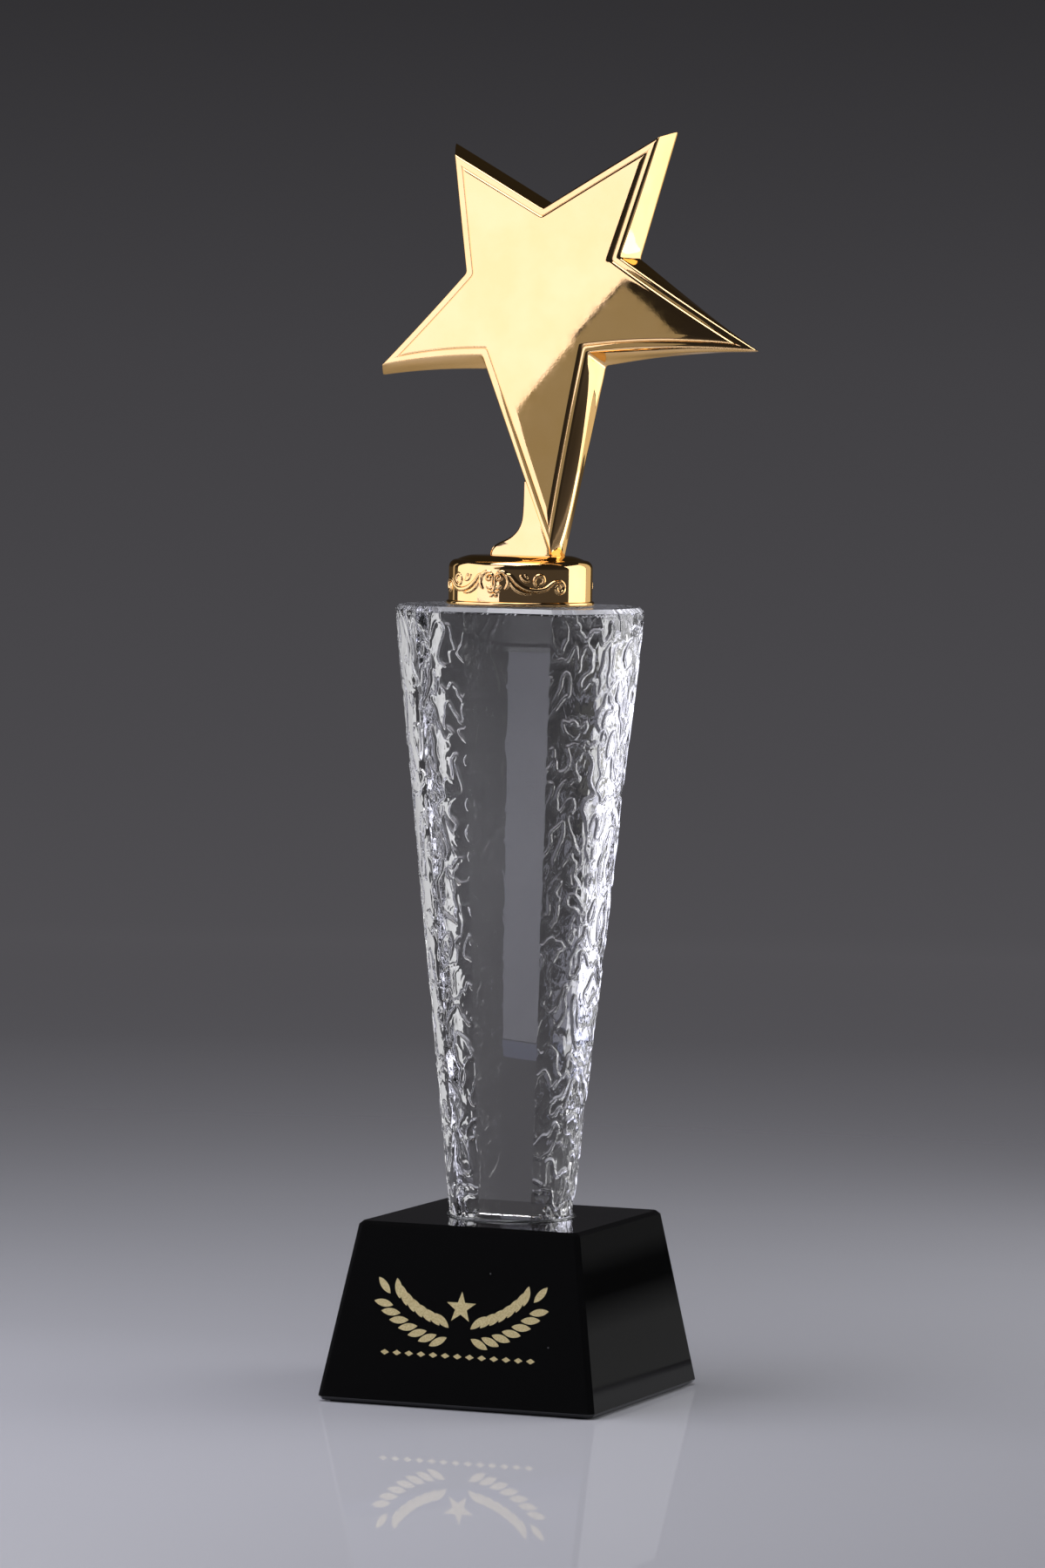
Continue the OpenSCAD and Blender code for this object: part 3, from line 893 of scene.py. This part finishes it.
def add_softbox(name, azimuth, elevation, distance, size, radiance, colour, target):
    """A soft light that faces the award. azimuth 0 is the front and 90 the right, in degrees."""
    data = bpy.data.lights.new(name, "AREA")
    data.shape = "RECTANGLE"
    data.size, data.size_y = size
    data.energy = radiance * math.pi * size[0] * size[1]
    data.color = colour
    light = bpy.data.objects.new(name, data)
    bpy.context.scene.collection.objects.link(light)
    a, e = math.radians(azimuth), math.radians(elevation)
    away = Vector((math.sin(a) * math.cos(e), -math.cos(a) * math.cos(e), math.sin(e)))
    turn = away.to_track_quat("Z", "Y").to_matrix().to_4x4()
    light.matrix_world = Matrix.Translation(Vector(target) + away * distance) @ turn
    light.visible_camera = False
    return light


FLOOR_CENTRE = (-0.10, -0.42)
# Greys of the floor's painted pool of light at distances in metres from that centre, pale near the award
# and darker away from it; it clears away at the last ones
FLOOR_PAINTED_LIGHT_GREYS = [(0.0, 0.85), (0.3, 0.72), (0.5, 0.62), (0.85, 0.62), (1.3, 0.50), (1.8, 0.27), (2.6, 0.12)]
FLOOR_CLEAR = (0.75, 1.9)
# Grey of the studio by the upward part of the direction looked in
STUDIO_GREYS = [(-0.30, 0.40), (-0.13, 0.30), (-0.104, 0.17), (-0.092, 0.105), (-0.078, 0.079),
                (-0.055, 0.070), (0.0, 0.054), (0.05, 0.031), (0.25, 0.022), (1.0, 0.018)]


def add_grey_ramp(nodes, links, value, greys, tint):
    """A ramp through greys given at values, tinted; returns its colour."""
    low, high = greys[0][0], greys[-1][0]
    ramp = nodes.new("ShaderNodeValToRGB")
    elements = ramp.color_ramp.elements
    elements.remove(elements[1])
    for i, (where, grey) in enumerate(greys):
        stop = elements[0] if i == 0 else elements.new((where - low) / (high - low))
        stop.position = (where - low) / (high - low)
        stop.color = (*[grey * c for c in tint], 1)
    links.new(add_range(nodes, links, value, low, high, 0, 1), ramp.inputs["Fac"])
    return ramp.outputs["Color"]


def add_floor():
    """A wide floor with a painted pool of light: pale near the award, growing darker and clearing into the
    dim studio away from it.
    """
    radius = 6.0
    segments, rows = 96, 24
    turn = np.arange(segments) * 2 * math.pi / segments
    reach = radius * np.linspace(0, 1, rows + 1)[1:] ** 2
    points = [(r * math.cos(t) / MM, r * math.sin(t) / MM, 0) for r in reach for t in turn] + [(0, 0, 0)]
    faces = ring_faces(rows, segments)[:, ::-1].tolist()
    faces += fan_faces(np.arange(segments), rows * segments, True).tolist()
    material, nodes, links, shader = new_material("studio_floor")
    place = nodes.new("ShaderNodeTexCoord")
    offset = nodes.new("ShaderNodeVectorMath")
    offset.operation = "DISTANCE"
    offset.inputs[1].default_value = (*FLOOR_CENTRE, 0)
    links.new(place.outputs["Object"], offset.inputs[0])
    away = offset.outputs["Value"]
    # Painted pool of light: the floor's colour darkens with distance from the award
    grey = add_grey_ramp(nodes, links, away, FLOOR_PAINTED_LIGHT_GREYS, (0.985, 0.985, 1.05))
    links.new(grey, shader.inputs["Base Color"])
    shader.inputs["Roughness"].default_value = 0.015
    shader.inputs["IOR"].default_value = 1.17
    clear = nodes.new("ShaderNodeBsdfTransparent")
    mix = nodes.new("ShaderNodeMixShader")
    fade = add_range(nodes, links, away, *FLOOR_CLEAR, 0, 1)
    links.new(fade, mix.inputs["Fac"])
    links.new(shader.outputs["BSDF"], mix.inputs[1])
    links.new(clear.outputs["BSDF"], mix.inputs[2])
    links.new(mix.outputs["Shader"], nodes["Material Output"].inputs["Surface"])
    floor = make_object("studio_floor", points, faces, [material])


def add_world():
    """The dim studio round the award, paler low down where the floor clears into it."""
    world = bpy.data.worlds.new("studio")
    bpy.context.scene.world = world
    world.use_nodes = True
    nodes, links = world.node_tree.nodes, world.node_tree.links
    place = nodes.new("ShaderNodeTexCoord")
    split = nodes.new("ShaderNodeSeparateXYZ")
    links.new(place.outputs["Generated"], split.inputs[0])
    colour = add_grey_ramp(nodes, links, split.outputs["Z"], STUDIO_GREYS, (0.985, 0.95, 1.04))
    links.new(colour, nodes["Background"].inputs["Color"])


NEUTRAL = (1.0, 1.0, 1.03)
KEY_COLOUR = (1.0, 1.0, 1.22)
SHADE_COLOUR = (1.0, 0.98, 0.85)
# The big front-left softbox stands square to the way the star's panel mirrors the camera.
# Its corners are metres to the right of that way and metres above the floor.
KEY_AZIMUTH = math.radians(-22.5)
KEY_DISTANCE = 0.38
KEY_PANELS = {
    "key": (1.5, KEY_COLOUR, [
        (-0.20, 0.2024), (0.07, 0.2024), (0.07, 0.225), (0.012, 0.240), (0.012, 0.290),
        (-0.003, 0.300), (-0.003, 0.350), (0.012, 0.374), (0.040, 0.414),
        (0.085, 0.478), (0.085, 0.62), (-0.20, 0.62)]),
    "key_shade": (0.30, SHADE_COLOUR, [
        (-0.002, 0.332), (0.0135, 0.332), (0.0135, 0.296), (0.030, 0.270), (0.074, 0.300),
        (0.075, 0.388), (0.054, 0.404), (0.041, 0.413), (0.013, 0.373), (-0.002, 0.349)]),
    "key_foot": (0.80, (0.88, 0.98, 1.6), [
        (-0.20, 0.1965), (0.07, 0.1965), (0.07, 0.2020), (-0.20, 0.2020)]),
}
# Seen through the notch of the key: the leg mirrors the shade, and the column the lit part above it
FAR_DISTANCE = 0.76
FAR_PANELS = {
    "far_shade": (0.30, SHADE_COLOUR, [(-0.02, 0.34), (0.04, 0.34), (0.04, 0.4135), (-0.02, 0.4135)]),
    "far_key": (1.5, KEY_COLOUR, [(-0.03, 0.4138), (0.03, 0.4138), (0.03, 0.485), (-0.03, 0.485)]),
}
# Upright panels round the award: radiance, colour, azimuth and distance of both ends, lowest and highest
SIDE_PANELS = {
    "side": (1.5, (1.0, 1.0, 1.08), (-50, 0.43), (-97, 0.50), (0.02, 0.62)),
    "left_edge": (0.5, NEUTRAL, (-109, 0.55), (-115, 0.55), (0.10, 0.45)),
    "right_rear": (1.9, NEUTRAL, (104, 0.60), (149, 0.60), (0.18, 0.62)),
    "right_low": (3.4, (1.0, 1.0, 1.01), (104, 0.60), (149, 0.60), (0.004, 0.18)),
    "right_back": (0.7, NEUTRAL, (150, 0.60), (172, 0.60), (0.09, 0.62)),
}
# A low card behind the award that the block's right face mirrors, with its greys by height
CARD_ENDS = ((149, 0.60), (161, 0.60))
CARD_GREYS = [(0.001, 0.112), (0.019, 0.106), (0.0315, 0.0), (0.0385, 0.0), (0.046, 0.042), (0.089, 0.046)]
FLOOR_LIGHT = dict(azimuth=-22.5, elevation=18.4, distance=0.79, size=(0.28, 0.5), radiance=4.2,
                   colour=(1, 1, 1.03), target=(0, 0, 0))
TOP_LIGHT = dict(azimuth=-20, elevation=80, distance=1.25, size=(0.9, 0.9), radiance=3.7,
                 colour=(0.98, 0.985, 1.03), target=(0, 0, 0.25))


def add_panel(name, corners, radiance, colour, greys=None):
    """A flat glowing softbox front with corners in metres, graded by height if greys are given."""
    material = bpy.data.materials.new(name)
    material.use_nodes = True
    nodes, links = material.node_tree.nodes, material.node_tree.links
    nodes.remove(nodes["Principled BSDF"])
    glow = nodes.new("ShaderNodeEmission")
    glow.inputs["Color"].default_value = (*colour, 1)
    glow.inputs["Strength"].default_value = radiance
    if greys:
        place = nodes.new("ShaderNodeTexCoord")
        split = nodes.new("ShaderNodeSeparateXYZ")
        links.new(place.outputs["Object"], split.inputs[0])
        links.new(add_grey_ramp(nodes, links, split.outputs["Z"], greys, colour), glow.inputs["Color"])
    links.new(glow.outputs["Emission"], nodes["Material Output"].inputs["Surface"])
    face = list(range(len(corners)))
    panel = make_object(name, np.array(corners) / MM, [face], [material], smooth=False)
    panel.visible_camera = False


def place_round_award(azimuth, reach):
    """Place at an azimuth in degrees, 0 at the front and 90 at the right, and a distance in metres."""
    turn = math.radians(azimuth)
    return reach * math.sin(turn), -reach * math.cos(turn)


def upright_corners(first, last, low, high):
    """Corners of an upright panel between two ends, each an azimuth and a distance."""
    x0, y0 = place_round_award(*first)
    x1, y1 = place_round_award(*last)
    return [(x0, y0, low), (x0, y0, high), (x1, y1, high), (x1, y1, low)]


def add_lights():
    """The soft panels round the award, a top light and a light for the floor."""
    away = np.array([math.sin(KEY_AZIMUTH), -math.cos(KEY_AZIMUTH), 0])
    aside = np.array([math.cos(KEY_AZIMUTH), math.sin(KEY_AZIMUTH), 0])
    for distance, panels in ((KEY_DISTANCE, KEY_PANELS), (FAR_DISTANCE, FAR_PANELS)):
        for name, (radiance, colour, outline) in panels.items():
            corners = [away * distance + aside * right + np.array([0, 0, up]) for right, up in outline]
            add_panel(name, corners, radiance, colour)
    for name, (radiance, colour, first, last, heights) in SIDE_PANELS.items():
        add_panel(name, upright_corners(first, last, *heights), radiance, colour)
    card_corners = upright_corners(*CARD_ENDS, CARD_GREYS[0][0], CARD_GREYS[-1][0])
    add_panel("low_card", card_corners, 1.0, (1.0, 1.0, 1.0), CARD_GREYS)
    add_softbox("top", **TOP_LIGHT)
    # The floor light faces straight down, and is seen neither mirrored nor through the crystal
    floor_light = add_softbox("floor_light", **FLOOR_LIGHT)
    floor_light.rotation_euler = (0, 0, KEY_AZIMUTH)
    floor_light.visible_glossy = False
    floor_light.visible_transmission = False


add_camera()
build_column()
build_foot_bond()
build_collar_bond()
build_collar()
build_star()
dress_cad_nodes()
add_world()
add_floor()
add_lights()
bpy.context.scene.view_settings.view_transform = "Standard"
